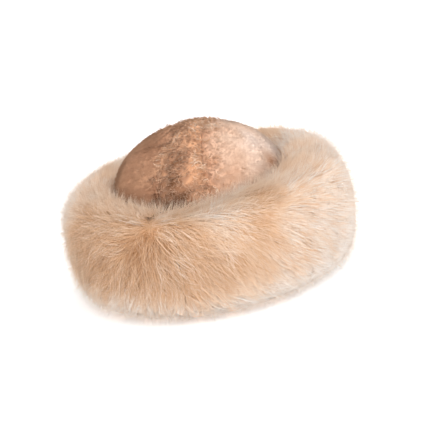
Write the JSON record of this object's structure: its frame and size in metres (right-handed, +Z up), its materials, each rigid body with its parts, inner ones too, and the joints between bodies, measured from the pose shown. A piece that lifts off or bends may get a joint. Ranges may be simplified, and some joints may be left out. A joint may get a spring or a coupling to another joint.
{
  "type": "fur-cuffed sheepskin hat",
  "caption": "Domed winter hat of sheared sheepskin, sewn from a centre panel and two side panels, in a deep turned-up cuff of long cream fur, open below for the head.",
  "frame": {"origin": "on the surface that the hat rests on, below the middle of its box", "axes": "-Y towards the wearer's front, +X towards the wearer's left, +Z up"},
  "size_m": [0.3188, 0.3502, 0.167],
  "materials": {
    "curly_pile": "rough, curly sheared wool on a skin, light brown with pale curls",
    "cream_pile": "smooth sheared wool on a skin, pale cream",
    "brown_pile": "smooth sheared wool on a skin, pinkish brown",
    "long_fur": "long soft fur, peach and cream with pale tips"
  },
  "bodies": {
    "root": {"crown_centre_panel": "curly_pile", "crown_left_panel": "cream_pile", "crown_right_panel": "brown_pile", "fur_cuff_left": "long_fur", "fur_cuff_right": "long_fur"}
  },
  "joints": []
}
